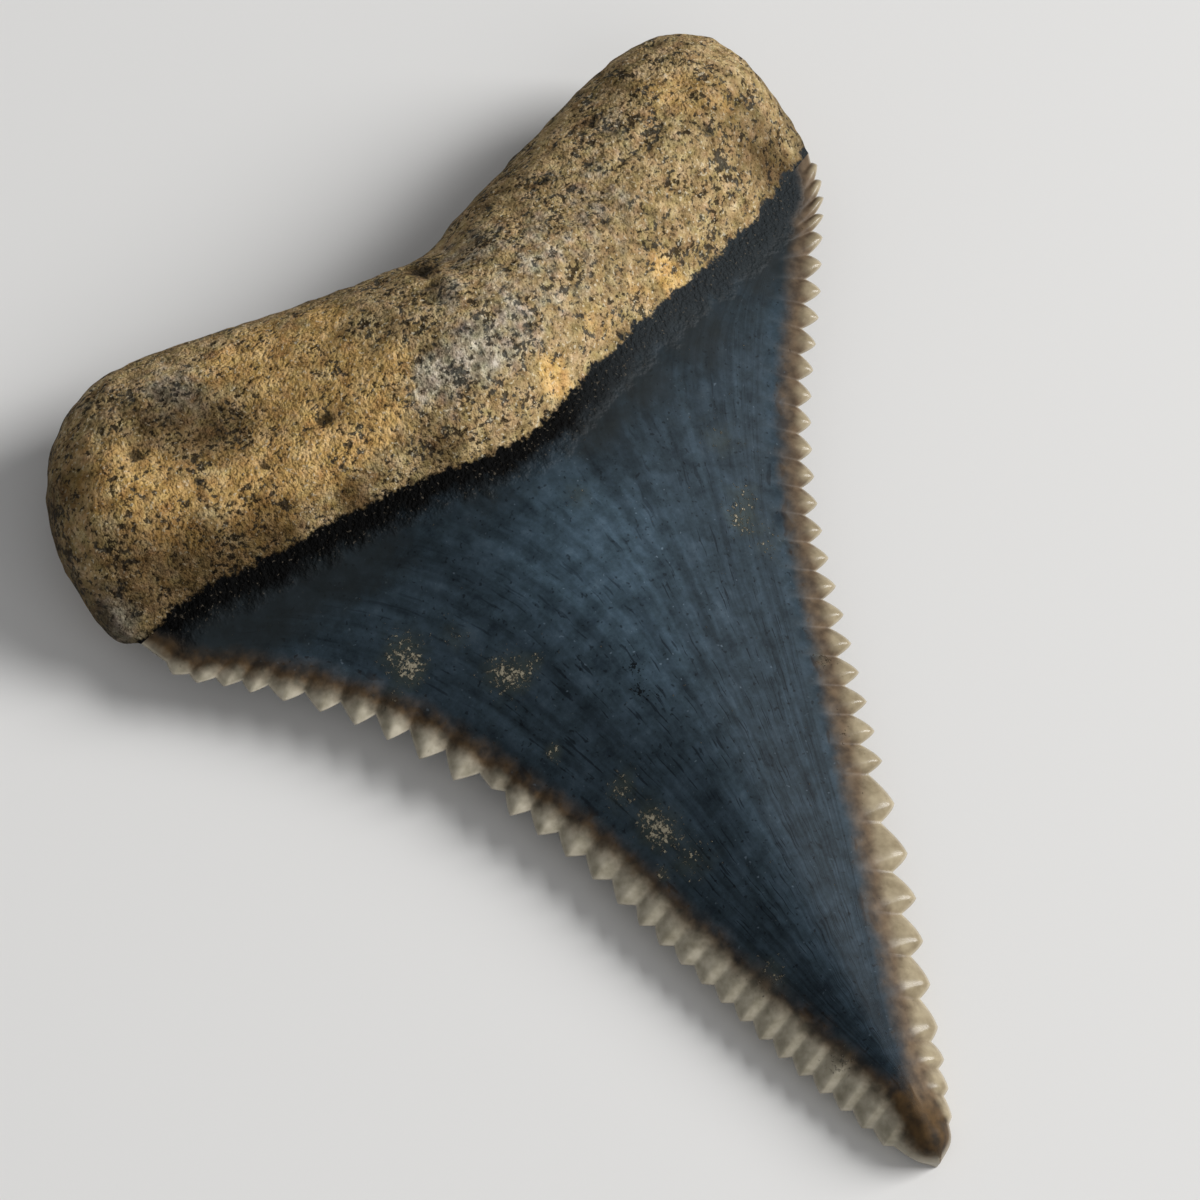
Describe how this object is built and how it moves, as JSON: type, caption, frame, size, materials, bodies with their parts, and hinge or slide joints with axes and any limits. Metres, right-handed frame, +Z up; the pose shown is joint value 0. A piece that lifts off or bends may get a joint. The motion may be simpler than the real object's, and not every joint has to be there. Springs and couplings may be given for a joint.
{
  "type": "fossil shark tooth",
  "caption": "Fossil great white shark tooth: a flat triangular blade with serrated cutting edges on a thick two-lobed root, lying on its flat outer face.",
  "frame": {"origin": "on the surface the tooth lies on, under the middle of its plan", "axes": "+Z up, out of the domed inner face; +Y from the tip towards the root; +X towards the longer cutting edge, to the right when the inner face is seen with the root at the top"},
  "size_m": [0.0364, 0.0472, 0.0088],
  "materials": {
    "fossil_tooth": "semi-gloss blue-grey enamel with matt sandy brown root"
  },
  "bodies": {
    "root": {"tooth": "fossil_tooth"}
  },
  "joints": []
}
